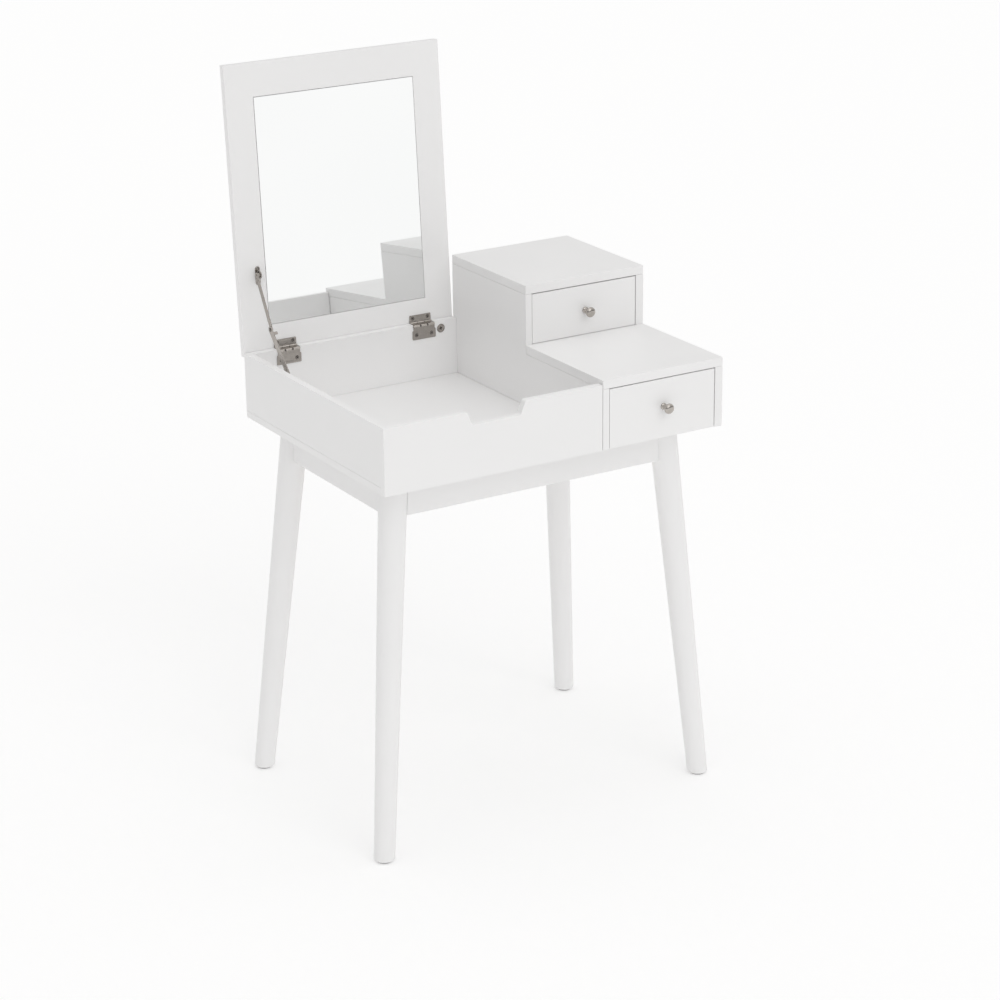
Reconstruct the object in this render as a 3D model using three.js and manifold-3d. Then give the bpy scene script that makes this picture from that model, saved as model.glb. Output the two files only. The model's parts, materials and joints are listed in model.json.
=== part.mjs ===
// Vanity table with a flip-up mirror lid: a stepped box with an open storage bay on the left and two
// drawers on the right, on four splayed round legs. Millimetres, +X right, +Y back, +Z up.
// Origin: centre of the bounding box, on the floor. The lid is drawn open, drawers shut.
import * as THREE from 'three';
import { mergeVertices } from 'three/addons/utils/BufferGeometryUtils.js';
import Module from 'manifold-3d';

const wasm = await Module();
wasm.setup();

// ---- driving dimensions -------------------------------------------------------------------------
const BOARD = 12;            // thickness of the bay's boards, the partition, the backs and the drawer fronts
const TOP_BOARD = 15;        // thickness of both tops and of the right side
const FIT = 0.1;             // each board is cut this much under on every face
const GAP = 0.3;             // clearance where a piece sits inside or against another
const SLIP = 0.2;            // smaller clearance, between pieces that slide, turn or bear on each other

const WIDTH = 630;           // whole box
const DEPTH = 466;
const BAY_WIDTH = 398;       // storage bay, from the left end to the partition
const BAY_HEIGHT = 110;      // top edge of the storage bay above the box bottom
const LOWER_TOP = 117;       // top of the lower drawer box
const UPPER_TOP = 218;       // top of the upper drawer box
const UPPER_FRONT = 230;     // the upper drawer box starts this far back
const BOX_HEIGHT_ABOVE_FLOOR = 638;

const JOINT_LINE = 1;        // open line between the bay's front board and the partition's front end
const NOTCH = { middle: 201, topHalf: 53, bottomHalf: 44, depth: 22, round: 3.5 };

const LEG = { topRadius: 23.3, footRadius: 17.3 };
const LEG_INSET = { topX: 62, footX: 7, topFront: 84, footFront: 45, topBack: 56, footBack: -3 };
const GLIDE = { radius: 13, height: 3 };
const APRON = { thickness: 18, height: 66, outside: 15 };   // outside: face beyond the leg's top centre
const BRACE = { reach: 50, width: 22, height: 42 };

const LEAN = THREE.MathUtils.degToRad(4.09);                // open lid, past upright
const HINGE_AXIS = { y: DEPTH - 0.7, z: BAY_HEIGHT - 0.5 };
const LID = { left: 0.6, right: 397.2, below: 7, above: 472, face: 1.5, thickness: 12 };
const MIRROR = { left: 51, right: 345.5, low: 41, high: 415.5, thickness: 3, groove: 0.8 };

const HINGE = { width: 41, barrel: 2.3, pin: 1.1, leaf: 1.2, bead: 1.9, slot: 1.4, strapDown: 0.4 };
const UPPER_LEAF = { height: 13.5, screwUp: 8.2 };          // measured up the lid from the hinge axis
const LOWER_LEAF = { width: 45, neckFoot: 99.5, foot: 83.5, screw: 91.5 };   // heights above the box bottom
const HINGE_CENTRES = { left: 76, right: 333.5 };
const HINGE_SCREW = { spread: 14.5, radius: 3.0, proud: 0.25, shank: 1.6, length: 9 };

const STAY = { pivotUp: 129, standoff: 12, upper: 93, lower: 100, thickness: 1.5 };
const STAY_HALF_WIDTH = { upper: 4.5, lower: 6 };
const STAY_PLATE = { left: 2, right: 7, above: 12, below: 19 };   // lid plate, about the lug's pivot
const STAY_CATCH = { near: 8, far: 13, thickness: 1.5, reach: 7 };   // tab on the lower arm, from the elbow
const STAY_SIDE_PIVOT = { y: 349, z: 85.5 };
const STAY_X = { lower: 25.0, upper: 26.8, lug: 32.6 };     // left face of each stay piece
const STAY_RIVET = 2.2;
const RIVET_HEAD = { radius: 3.2, height: 1 };
const STAY_LUG = { radius: 6.5, thickness: 1.6, webHalf: 6, boss: 3.6 };
const STAY_BASE = { thickness: 1.5, halfLength: 20, halfHeight: 8, boss: 4.5 };

const DRAWER = { side: 10, base: 4, baseUp: 8, drop: 12, frontFoot: 1 };
const DRAWER_BACK = { lower: 430, upper: 446 };             // how far back each drawer reaches
const REVEAL = { left: 0.8, right: 1.6, above: 1.5, below: 0.7 };   // gaps round a drawer front
const KNOB = { rose: 5.5, stem: 3, head: 8.7, length: 21 };
const KNOB_CENTRE = { x: 514, lower: 54.3, upper: 159 };

const CAM = { radius: 7.5, depth: 9, x: 367, z: 96, proud: 0.4, recess: 2.6, recessDepth: 2 };

// ---- materials ----------------------------------------------------------------------------------
const paint = () => new THREE.MeshStandardMaterial({ color: 0xf0efee, roughness: 0.42, metalness: 0 });
const nickel = () => new THREE.MeshStandardMaterial({ color: 0xb9b2a8, roughness: 0.32, metalness: 1 });
const silvered = () => new THREE.MeshStandardMaterial({ color: 0xeef1f2, roughness: 0.03, metalness: 1 });
const hardboard = () => new THREE.MeshStandardMaterial({ color: 0xe9e7e4, roughness: 0.6, metalness: 0 });
const beech = () => new THREE.MeshStandardMaterial({ color: 0xc9a377, roughness: 0.65, metalness: 0 });
const nylon = () => new THREE.MeshStandardMaterial({ color: 0x8f8d8a, roughness: 0.7, metalness: 0 });

// ---- solids -------------------------------------------------------------------------------------
function solid(geometry) {
  const bare = geometry.clone();
  bare.deleteAttribute('normal');
  bare.deleteAttribute('uv');
  const merged = mergeVertices(bare, 1e-4);
  const vertProperties = new Float32Array(merged.attributes.position.array);
  const triVerts = new Uint32Array(merged.index.array);
  return new wasm.Manifold(new wasm.Mesh({ numProp: 3, vertProperties, triVerts }));
}

function geometryOf(manifold) {
  const { vertProperties, triVerts } = manifold.getMesh();
  const geometry = new THREE.BufferGeometry();
  geometry.setAttribute('position', new THREE.BufferAttribute(new Float32Array(vertProperties), 3));
  geometry.setIndex(new THREE.BufferAttribute(new Uint32Array(triVerts), 1));
  geometry.computeVertexNormals();
  return geometry;
}

function block(x0, x1, y0, y1, z0, z1) {
  const geometry = new THREE.BoxGeometry(x1 - x0, y1 - y0, z1 - z0);
  return solid(geometry.translate((x0 + x1) / 2, (y0 + y1) / 2, (z0 + z1) / 2));
}

// A board between nominal faces, cut under by FIT all round.
function board(x0, x1, y0, y1, z0, z1) {
  return block(x0 + FIT, x1 - FIT, y0 + FIT, y1 - FIT, z0 + FIT, z1 - FIT);
}

// A rod along X from x0 to x1.
function rodX(radius, x0, x1, y, z, sides = 20) {
  const geometry = new THREE.CylinderGeometry(radius, radius, x1 - x0, sides);
  return solid(geometry.rotateZ(Math.PI / 2).translate((x0 + x1) / 2, y, z));
}

// A rod along Y from y0 to y1.
function rodY(radius, y0, y1, x, z, sides = 24) {
  const geometry = new THREE.CylinderGeometry(radius, radius, y1 - y0, sides);
  return solid(geometry.translate(x, (y0 + y1) / 2, z));
}

// An outline drawn in Y and Z, extruded along X between x0 and x1.
function profileX(shape, x0, x1, curveSegments = 8) {
  const geometry = new THREE.ExtrudeGeometry(shape, { depth: x1 - x0, bevelEnabled: false, curveSegments });
  const toYZ = new THREE.Matrix4().set(0, 0, 1, x0, 1, 0, 0, 0, 0, 1, 0, 0, 0, 0, 0, 1);
  return solid(geometry.applyMatrix4(toYZ));
}

function outline(points) {
  return new THREE.Shape(points.map(([a, b]) => new THREE.Vector2(a, b)));
}

function piece(parent, name, manifold, material) {
  const mesh = new THREE.Mesh(geometryOf(manifold), material);
  mesh.name = name;
  parent.add(mesh);
  return mesh;
}

const table = new THREE.Group();
const box = new THREE.Group();                 // z = 0 at the bottom of the stepped box
box.position.z = BOX_HEIGHT_ABOVE_FLOOR;
table.add(box);

// ---- hinge and stay positions shared by several pieces -------------------------------------------
const hinges = Object.entries(HINGE_CENTRES).map(([side, x]) => {
  const half = HINGE.width / 2;
  return { side, x, x0: x - half, x1: x + half };
});
const backInner = DEPTH - BOARD;

function lidToBox(y, z) {
  const c = Math.cos(LEAN);
  const s = Math.sin(LEAN);
  return { y: HINGE_AXIS.y + y * c + z * s, z: HINGE_AXIS.z - y * s + z * c };
}

const stayLidPivot = lidToBox(LID.face - STAY.standoff, STAY.pivotUp);

// The elbow lies behind the straight line between the two end pivots: the stay is past its centre.
function elbowPoint(from, to, nearTo, nearFrom) {
  const dy = to.y - from.y;
  const dz = to.z - from.z;
  const span = Math.hypot(dy, dz);
  const along = (nearFrom ** 2 - nearTo ** 2 + span ** 2) / (2 * span);
  const off = Math.sqrt(nearFrom ** 2 - along ** 2);
  return { y: from.y + (along * dy + off * dz) / span, z: from.z + (along * dz - off * dy) / span };
}
const stayElbow = elbowPoint(STAY_SIDE_PIVOT, stayLidPivot, STAY.upper, STAY.lower);

// ---- carcass boards -----------------------------------------------------------------------------
function bottomPanel() {
  piece(box, 'bottom_panel', board(0, WIDTH, BOARD, DEPTH, 0, BOARD), paint());
}

function leftSidePanel() {
  piece(box, 'left_side_panel', board(0, BOARD, BOARD, DEPTH, BOARD, BAY_HEIGHT), paint());
}

// Front of the storage bay with the finger notch in the middle of its top edge.
function storageFrontPanel() {
  const { middle, topHalf, bottomHalf, depth, round } = NOTCH;
  const top = BAY_HEIGHT - FIT;
  const end = BAY_WIDTH - JOINT_LINE;
  const floor = BAY_HEIGHT - depth;
  const slope = new THREE.Vector2(topHalf - bottomHalf, depth).normalize().multiplyScalar(round);
  const shape = new THREE.Shape();
  shape.moveTo(FIT, FIT);
  shape.lineTo(end, FIT);
  shape.lineTo(end, top);
  for (const side of [1, -1]) {
    const corners = [[topHalf, top, round, 0, -slope.x, -slope.y],
      [bottomHalf, floor, slope.x, slope.y, -round, 0]];
    const ordered = side > 0 ? corners : corners.slice().reverse();
    for (const [half, z, ax, az, bx, bz] of ordered) {
      const from = side > 0 ? [ax, az] : [bx, bz];
      const to = side > 0 ? [bx, bz] : [ax, az];
      shape.lineTo(middle + side * (half + from[0]), z + from[1]);
      shape.quadraticCurveTo(middle + side * half, z, middle + side * (half + to[0]), z + to[1]);
    }
  }
  shape.lineTo(FIT, top);
  const depthY = BOARD - 2 * FIT;
  const geometry = new THREE.ExtrudeGeometry(shape, { depth: depthY, bevelEnabled: false, curveSegments: 5 });
  const upright = solid(geometry.rotateX(Math.PI / 2).translate(0, BOARD - FIT, 0));
  piece(box, 'storage_front_panel', upright, paint());
}

// Back of the storage bay: let in for the hinge leaves and barrels, and bored for the cam lock.
function storageBackPanel() {
  let panel = board(BOARD, BAY_WIDTH, backInner, DEPTH, BOARD, BAY_HEIGHT);
  for (const { x0, x1 } of hinges) {
    const strapSeat = HINGE_AXIS.z - 0.4 - HINGE.leaf - GAP;
    const left = x0 - 0.6;
    const right = x1 + 0.6;
    panel = panel.subtract(block(left, right, backInner - 1, DEPTH + 1, strapSeat, BAY_HEIGHT + 1));
    panel = panel.subtract(block(left, right, HINGE_AXIS.y - 2.9, DEPTH + 1, HINGE_AXIS.z - 2.7, BAY_HEIGHT));
    panel = panel.subtract(block(left, right, backInner - 1, backInner + 3, HINGE_AXIS.z - 4.6, BAY_HEIGHT));
  }
  panel = panel.subtract(rodY(CAM.radius + GAP, backInner - 1, backInner + CAM.depth, CAM.x, CAM.z));
  for (const { x } of hinges) {
    for (const sign of [-1, 1]) {
      panel = panel.subtract(screwHole(x + sign * HINGE_SCREW.spread, backInner, LOWER_LEAF.screw));
    }
  }
  piece(box, 'storage_back_panel', panel, paint());
}

// The partition and the right side share one stepped outline, with a tongue in front of the bottom panel.
function steppedSide(name, x, thickness) {
  const low = LOWER_TOP - TOP_BOARD - FIT;
  const high = UPPER_TOP - TOP_BOARD - FIT;
  const front = UPPER_FRONT + FIT;
  const tongue = [[FIT, FIT], [BOARD - FIT, FIT], [BOARD - FIT, BOARD + FIT]];
  const rest = [[DEPTH - FIT, BOARD + FIT], [DEPTH - FIT, high], [front, high], [front, low], [FIT, low]];
  const shape = outline([...tongue, ...rest]);
  piece(box, name, profileX(shape, x + FIT, x + thickness - FIT), paint());
}

// One T-shaped board: the top of the lower drawer box in front, the shelf of the upper drawer behind.
function lowerTopPanel() {
  const z0 = LOWER_TOP - TOP_BOARD;
  const front = board(BAY_WIDTH, WIDTH, 0, UPPER_FRONT, z0, LOWER_TOP);
  const shelf = board(BAY_WIDTH + BOARD, WIDTH - TOP_BOARD, UPPER_FRONT - BOARD, backInner, z0, LOWER_TOP);
  piece(box, 'lower_top_panel', front.add(shelf), paint());
}

function upperTopPanel() {
  const top = board(BAY_WIDTH, WIDTH, UPPER_FRONT, DEPTH, UPPER_TOP - TOP_BOARD, UPPER_TOP);
  piece(box, 'upper_top_panel', top, paint());
}

function drawerBackPanel() {
  const high = UPPER_TOP - TOP_BOARD;
  const back = board(BAY_WIDTH + BOARD, WIDTH - TOP_BOARD, backInner, DEPTH, BOARD, high);
  piece(box, 'drawer_back_panel', back, paint());
}

function camLock() {
  const { radius, depth, x, z, proud, recess, recessDepth } = CAM;
  const front = backInner - proud;
  const socket = rodY(recess, front - 1, front + recessDepth, x, z, 12);
  const cam = rodY(radius, front, backInner + depth - GAP, x, z).subtract(socket);
  piece(box, 'cam_lock', cam, nickel());
}

// ---- hinges -------------------------------------------------------------------------------------
const third = HINGE.width / 3;
const knuckleEnds = (x0, x1) => [x0 + third, x1 - third];

// Cranked leaf: down the inner face of the back panel, rolled over its top edge, to the two outer knuckles.
function lowerLeaf({ side, x0, x1, x }) {
  const [inner0, inner1] = knuckleEnds(x0, x1);
  const { y, z } = HINGE_AXIS;
  const { leaf, bead, barrel, slot, strapDown } = HINGE;
  const { width, neckFoot, foot, screw: screwZ } = LOWER_LEAF;
  const top = z - strapDown;
  const face = backInner - SLIP;
  const plate = block(x - width / 2, x + width / 2, face - leaf, face, foot, neckFoot);
  const neck = block(x0, x1, face - leaf, face, neckFoot - 1, top - bead);
  const strap = block(x0, x1, face, y - barrel - GAP, top - leaf, top);
  const roll = rodX(bead, x0, x1, face - leaf + bead, top - bead);
  let body = plate.add(neck).add(strap).add(roll);
  for (const [a, b] of [[x0, inner0 - SLIP], [inner1 + SLIP, x1]]) {
    body = body.add(block(a, b, y - barrel - 1, y, top - leaf, top));
    body = body.add(rodX(barrel, a, b, y, z));
  }
  body = body.subtract(rodX(HINGE.pin + 0.1, x0 - 1, x1 + 1, y, z));
  for (const middle of [inner0, inner1]) {
    const half = slot / 2;
    body = body.subtract(block(middle - half, middle + half, face - leaf - 1, face + 3, top - 4, top + 1));
  }
  for (const sign of [-1, 1]) {
    body = body.subtract(countersink(x + sign * HINGE_SCREW.spread, face - leaf, screwZ));
  }
  piece(box, `${side}_hinge_lower_leaf`, body, nickel());
}

// Flat leaf on the mirror side of the lid, with the middle knuckle. Drawn about the hinge axis.
function upperLeaf(parent, { side, x0, x1 }) {
  const [inner0, inner1] = knuckleEnds(x0, x1);
  const back = LID.face - SLIP;
  const plate = block(x0, x1, back - HINGE.leaf, back, HINGE.barrel + GAP, UPPER_LEAF.height);
  const neck = block(inner0 + SLIP, inner1 - SLIP, back - HINGE.leaf, back, 0, HINGE.barrel + 1);
  let leaf = plate.add(neck).add(rodX(HINGE.barrel, inner0 + SLIP, inner1 - SLIP, 0, 0));
  leaf = leaf.subtract(rodX(HINGE.pin + 0.1, x0 - 1, x1 + 1, 0, 0));
  for (const sign of [-1, 1]) {
    const x = (x0 + x1) / 2 + sign * HINGE_SCREW.spread;
    leaf = leaf.subtract(countersink(x, back - HINGE.leaf, UPPER_LEAF.screwUp));
  }
  piece(parent, `${side}_hinge_upper_leaf`, leaf, nickel());
}

function hingePin({ side, x0, x1 }) {
  const pin = rodX(HINGE.pin, x0 + GAP, x1 - GAP, HINGE_AXIS.y, HINGE_AXIS.z);
  piece(box, `${side}_hinge_pin`, pin, nickel());
}

// A countersunk screw in a hinge leaf whose outer face is the plane y = face, running back along +Y.
function screw(parent, name, x, face, z) {
  const { radius, proud, shank, length } = HINGE_SCREW;
  const head = [[0, proud], [radius * 0.7, proud], [radius, 0]];
  const profile = [...head, [shank, -HINGE.leaf], [shank, -length], [0, -length]];
  const points = profile.reverse().map(([r, h]) => new THREE.Vector2(r, h));
  const turned = new THREE.LatheGeometry(points, 12).rotateX(Math.PI).translate(x, face, z);
  piece(parent, name, solid(turned), nickel());
}

// The countersunk hole for it, clear all round, through a leaf with that outer face.
function countersink(x, face, z) {
  const { radius, shank } = HINGE_SCREW;
  const over = 1;
  const slope = (radius - shank) / HINGE.leaf;
  const wide = radius + slope * over + SLIP;
  const narrow = shank - slope * over + SLIP;
  const cone = new THREE.CylinderGeometry(narrow, wide, HINGE.leaf + 2 * over, 12);
  return solid(cone.translate(x, face + HINGE.leaf / 2, z)).add(rodY(shank + SLIP, face, face + 3, x, z, 12));
}

function screwHole(x, face, z) {
  return rodY(HINGE_SCREW.shank + GAP, face - 1, face + HINGE_SCREW.length + 0.6, x, z, 10);
}

// ---- lid ----------------------------------------------------------------------------------------
const lid = new THREE.Group();                 // origin on the hinge axis, +Z up the open lid
lid.position.set(0, HINGE_AXIS.y, HINGE_AXIS.z);
lid.rotation.x = -LEAN;
box.add(lid);

function lidBoard() {
  const face = LID.face;
  let panel = block(LID.left, LID.right, face, face + LID.thickness, -LID.below, LID.above);
  const g = MIRROR.groove;
  panel = panel.subtract(block(MIRROR.left - g, MIRROR.right + g, face - 1, face + MIRROR.thickness + GAP,
    MIRROR.low - g, MIRROR.high + g));
  for (const { x0, x1, x } of hinges) {
    panel = panel.subtract(block(x0 - 0.6, x1 + 0.6, face - 1, HINGE.barrel + 0.5, -3.1, 3.1));
    for (const sign of [-1, 1]) {
      panel = panel.subtract(screwHole(x + sign * HINGE_SCREW.spread, face, UPPER_LEAF.screwUp));
    }
  }
  piece(lid, 'lid_board', panel, paint());
}

function mirrorGlass() {
  const y = LID.face + 0.1;
  const glass = block(MIRROR.left, MIRROR.right, y, y + MIRROR.thickness, MIRROR.low, MIRROR.high);
  piece(lid, 'mirror_glass', glass, silvered());
}

// ---- folding stay -------------------------------------------------------------------------------
// Base plate on the lid with a round lug standing off it, and a boss that carries the upper arm.
function stayLidBracket() {
  const face = LID.face - 0.1;
  const y = LID.face - STAY.standoff;
  const z = STAY.pivotUp;
  const x = STAY_X.lug;
  const { left, right, above, below } = STAY_PLATE;
  const { radius, thickness, webHalf, boss } = STAY_LUG;
  const plate = block(x - left, x + right, face - HINGE.leaf, face, z - below, z + above);
  const web = block(x, x + thickness, y, face - HINGE.leaf / 2, z - webHalf, z + webHalf);
  const disc = rodX(radius, x, x + thickness, y, z, 24);
  const pillar = rodX(boss, STAY_X.upper + STAY.thickness + GAP, x + 0.5, y, z, 16);
  const stub = rodX(STAY_RIVET, STAY_X.upper - 0.6, x, y, z, 12);
  piece(lid, 'stay_lid_bracket', plate.add(web).add(disc).add(pillar).add(stub), nickel());
}

function staySideBracket() {
  const { y, z } = STAY_SIDE_PIVOT;
  const { thickness, halfLength, halfHeight, boss } = STAY_BASE;
  const x = BOARD + FIT;
  const plate = block(x, x + thickness, y - halfLength, y + halfLength, z - halfHeight, z + halfHeight);
  const pillar = rodX(boss, x + 1, STAY_X.lower - GAP, y, z, 16);
  piece(box, 'stay_side_bracket', plate.add(pillar), nickel());
}

// A flat bar with round ends between two pivots, with a rivet hole at each point in holes.
function stayArm(name, x, r, from, to, holes, catchTab) {
  const length = Math.hypot(to.y - from.y, to.z - from.z);
  const shape = new THREE.Shape();
  shape.absarc(0, 0, r, Math.PI / 2, -Math.PI / 2, false);
  shape.absarc(length, 0, r, -Math.PI / 2, Math.PI / 2, false);
  shape.closePath();
  const turn = Math.atan2(to.z - from.z, to.y - from.y);
  const options = { depth: STAY.thickness, bevelEnabled: false, curveSegments: 10 };
  const flat = new THREE.ExtrudeGeometry(shape, options);
  const toYZ = new THREE.Matrix4().set(0, 0, 1, x, 1, 0, 0, from.y, 0, 1, 0, from.z, 0, 0, 0, 1);
  const place = (geometry) => solid(geometry.rotateZ(turn).applyMatrix4(toYZ));
  let bar = place(flat);
  if (catchTab) {
    const { near, far, thickness, reach } = catchTab;
    const tab = new THREE.BoxGeometry(far - near, thickness, reach);
    bar = bar.add(place(tab.translate(length - (near + far) / 2, r + thickness / 2 - 0.3, reach / 2)));
  }
  for (const { y, z } of holes) {
    bar = bar.subtract(rodX(STAY_RIVET + 0.1, x - 1, x + STAY.thickness + 1, y, z, 12));
  }
  piece(box, name, bar, nickel());
}

function stayElbowRivet() {
  const { y, z } = stayElbow;
  const { radius, height } = RIVET_HEAD;
  const left = STAY_X.lower - SLIP;
  const right = STAY_X.upper + STAY.thickness + SLIP;
  const shank = rodX(STAY_RIVET, left - height, right + height, y, z, 12);
  const leftHead = rodX(radius, left - height, left, y, z, 16);
  const rightHead = rodX(radius, right, right + height, y, z, 16);
  piece(box, 'stay_elbow_rivet', shank.add(leftHead).add(rightHead), nickel());
}

// ---- drawers ------------------------------------------------------------------------------------
function knobProfile() {
  const { rose, stem, head, length } = KNOB;
  const curve = new THREE.CatmullRomCurve3([[head * 0.55, length - 8.2], [head * 0.93, length - 6.6],
    [head, length - 4.6], [head * 0.86, length - 1.9], [head * 0.5, length - 0.5], [0, length]]
    .map(([r, h]) => new THREE.Vector3(r, h, 0)));
  const rim = curve.getPoints(10).map((p) => new THREE.Vector2(p.x, p.y));
  rim[rim.length - 1].x = 0;
  const base = [[0, 0], [rose, 0], [rose, 1.6], [rose - 1.4, 2.6], [stem, 4.2], [stem, length - 10]];
  return [...base.map(([r, h]) => new THREE.Vector2(r, h)), ...rim];
}

// A drawer standing at z0, its front face at y = front and between the two heights given.
function drawer(name, front, frontLow, frontHigh, z0) {
  const x0 = BAY_WIDTH + BOARD + REVEAL.left;
  const x1 = WIDTH - TOP_BOARD - REVEAL.right;
  const back = DRAWER_BACK[name];
  const inner = front + BOARD;
  const top = frontHigh - DRAWER.drop;
  const { side, base, baseUp } = DRAWER;
  const left = block(x0, x0 + side, inner + SLIP, back, z0, top);
  const right = block(x1 - side, x1, inner + SLIP, back, z0, top);
  const rear = block(x0 + side + SLIP, x1 - side - SLIP, back - side, back, z0, top);
  const floor = block(x0 + side + SLIP, x1 - side - SLIP, inner + SLIP, back - side - SLIP,
    z0 + baseUp, z0 + baseUp + base);
  piece(box, `${name}_drawer_front`, block(x0, x1, front + FIT, inner, frontLow, frontHigh), paint());
  piece(box, `${name}_drawer_left_side`, left, paint());
  piece(box, `${name}_drawer_right_side`, right, paint());
  piece(box, `${name}_drawer_back`, rear, paint());
  piece(box, `${name}_drawer_bottom`, floor, hardboard());
  const turned = new THREE.LatheGeometry(knobProfile(), 24).rotateX(Math.PI);
  const knob = solid(turned.translate(KNOB_CENTRE.x, front - FIT, KNOB_CENTRE[name]));
  piece(box, `${name}_drawer_knob`, knob, nickel());
}

// ---- leg frame ----------------------------------------------------------------------------------
const cornerSides = [['front', 'left'], ['front', 'right'], ['back', 'left'], ['back', 'right']];

function legLine(fore, side) {
  const { topX, footX, topFront, footFront, topBack, footBack } = LEG_INSET;
  const x = (inset) => (side === 'left' ? inset : WIDTH - inset);
  const top = new THREE.Vector3(x(topX), fore === 'front' ? topFront : DEPTH - topBack, 0);
  const footY = fore === 'front' ? footFront : DEPTH - footBack;
  const foot = new THREE.Vector3(x(footX), footY, -BOX_HEIGHT_ABOVE_FLOOR);
  return { top, foot };
}

// A tapered round leg on its splayed centre line, thicker all round by extra and longer past both ends.
function taperedLeg({ top, foot }, extra) {
  const over = 30;
  const axis = top.clone().sub(foot);
  const length = axis.length() + 2 * over;
  const slope = (LEG.topRadius - LEG.footRadius) / axis.length();
  const topRadius = LEG.topRadius + slope * over + extra;
  const footRadius = LEG.footRadius - slope * over + extra;
  const geometry = new THREE.CylinderGeometry(topRadius, footRadius, length, 32);
  const upright = new THREE.Vector3(0, 1, 0);
  const turn = new THREE.Quaternion().setFromUnitVectors(upright, axis.clone().normalize());
  geometry.applyQuaternion(turn);
  const middle = top.clone().add(foot).multiplyScalar(0.5);
  return solid(geometry.translate(middle.x, middle.y, middle.z));
}

function legs() {
  const footZ = -BOX_HEIGHT_ABOVE_FLOOR + GLIDE.height + SLIP;
  const slab = block(-200, WIDTH + 200, -200, DEPTH + 200, footZ, -SLIP);
  for (const [fore, side] of cornerSides) {
    const line = legLine(fore, side);
    piece(box, `${fore}_${side}_leg`, taperedLeg(line, 0).intersect(slab), paint());
    const glide = new THREE.CylinderGeometry(GLIDE.radius, GLIDE.radius - 1, GLIDE.height, 24);
    glide.rotateX(Math.PI / 2).translate(line.foot.x, line.foot.y, line.foot.z + GLIDE.height / 2);
    piece(box, `${fore}_${side}_glide`, solid(glide), nylon());
  }
}

function aprons() {
  const { topX, topFront, topBack } = LEG_INSET;
  const { thickness, height, outside } = APRON;
  const x0 = topX;
  const x1 = WIDTH - topX;
  const y0 = topFront;
  const y1 = DEPTH - topBack;
  const inside = thickness - outside;
  const boards = {
    front_apron: [x0, x1, y0 - outside, y0 + inside],
    back_apron: [x0, x1, y1 - inside, y1 + outside],
    left_apron: [x0 - outside, x0 + inside, y0, y1],
    right_apron: [x1 - inside, x1 + outside, y0, y1],
  };
  const around = cornerSides.map(([fore, side]) => taperedLeg(legLine(fore, side), GAP));
  for (const [name, [a, b, c, d]] of Object.entries(boards)) {
    let rail = block(a, b, c, d, -height, -SLIP);
    for (const leg of around) rail = rail.subtract(leg);
    piece(box, name, rail, paint());
  }
}

// A diagonal block across each inside corner of the apron frame.
function cornerBraces() {
  const inside = APRON.thickness - APRON.outside + GAP;
  const { reach, width, height } = BRACE;
  for (const [fore, side] of cornerSides) {
    const { top } = legLine(fore, side);
    const sx = side === 'left' ? 1 : -1;
    const sy = fore === 'front' ? 1 : -1;
    const at = (u, v) => new THREE.Vector2(top.x + sx * (inside + u), top.y + sy * (inside + v));
    const corners = [at(reach, 0), at(reach + width, 0), at(0, reach + width), at(0, reach)];
    const shape = new THREE.Shape(corners);
    const geometry = new THREE.ExtrudeGeometry(shape, { depth: height, bevelEnabled: false });
    piece(box, `${fore}_${side}_corner_brace`, solid(geometry.translate(0, 0, -height - 4)), beech());
  }
}

// ---- assembly -----------------------------------------------------------------------------------
bottomPanel();
leftSidePanel();
storageFrontPanel();
storageBackPanel();
steppedSide('centre_partition', BAY_WIDTH, BOARD);
steppedSide('right_side_panel', WIDTH - TOP_BOARD, TOP_BOARD);
lowerTopPanel();
upperTopPanel();
drawerBackPanel();
camLock();
legs();
aprons();
cornerBraces();

for (const hinge of hinges) {
  lowerLeaf(hinge);
  hingePin(hinge);
  upperLeaf(lid, hinge);
}
lidBoard();
mirrorGlass();
stayLidBracket();
staySideBracket();
const { upper: upperHalf, lower: lowerHalf } = STAY_HALF_WIDTH;
stayArm('stay_upper_arm', STAY_X.upper, upperHalf, stayElbow, stayLidPivot, [stayElbow, stayLidPivot]);
stayArm('stay_lower_arm', STAY_X.lower, lowerHalf, STAY_SIDE_PIVOT, stayElbow, [stayElbow], STAY_CATCH);
stayElbowRivet();

const lowerHigh = LOWER_TOP - TOP_BOARD - REVEAL.above;
const upperHigh = UPPER_TOP - TOP_BOARD - REVEAL.above;
drawer('lower', 0, DRAWER.frontFoot, lowerHigh, BOARD + GAP);
drawer('upper', UPPER_FRONT, LOWER_TOP + REVEAL.below, upperHigh, LOWER_TOP + GAP);

for (const { side, x } of hinges) {
  for (const [end, sign] of [['outer', -1], ['inner', 1]]) {
    const sx = x + sign * HINGE_SCREW.spread;
    screw(lid, `${side}_hinge_lid_screw_${end}`, sx, LID.face - SLIP - HINGE.leaf, UPPER_LEAF.screwUp);
    screw(box, `${side}_hinge_back_screw_${end}`, sx, backInner - SLIP - HINGE.leaf, LOWER_LEAF.screw);
  }
}

// Centre the whole table on the origin, standing on the floor.
table.updateMatrixWorld(true);
const bounds = new THREE.Box3().setFromObject(table, true);
table.position.set(-(bounds.min.x + bounds.max.x) / 2, -(bounds.min.y + bounds.max.y) / 2, -bounds.min.z);

export default table;
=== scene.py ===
import json
import math

import bmesh
import bpy
from mathutils import Matrix, Vector


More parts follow.
